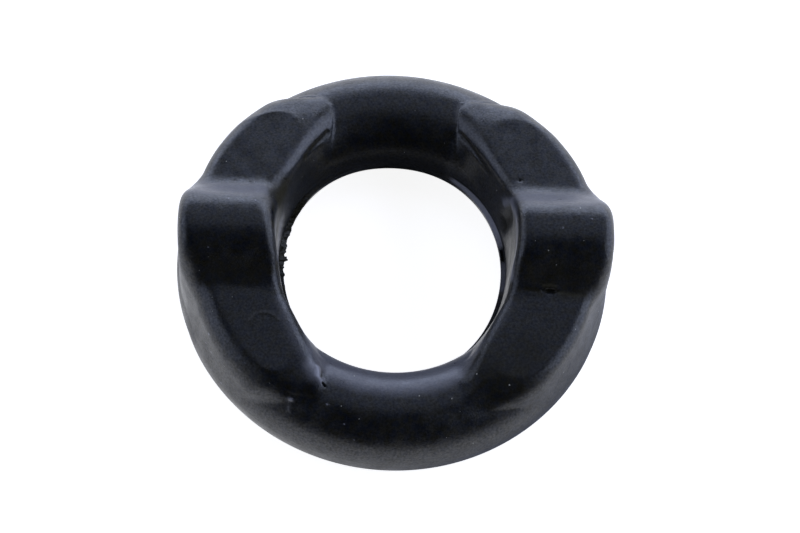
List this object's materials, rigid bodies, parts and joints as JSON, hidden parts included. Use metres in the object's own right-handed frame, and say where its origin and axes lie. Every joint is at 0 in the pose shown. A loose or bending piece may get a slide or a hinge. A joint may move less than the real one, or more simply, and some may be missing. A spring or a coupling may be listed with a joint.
{
  "type": "exhaust hanger rubber",
  "caption": "Moulded black rubber ring that holds up an exhaust, with a raised lobe and stop block on opposite sides of its upper face.",
  "frame": {"origin": "centre of the ring at the bottom of its underside", "axes": "+Z along the ring's axis towards the side with the lobes, +X from the axis through the middle of one lobe"},
  "size_m": [0.0638, 0.064, 0.0225],
  "materials": {
    "black_rubber": "satin, as moulded"
  },
  "bodies": {
    "root": {"hanger_ring": "black_rubber"}
  },
  "joints": []
}
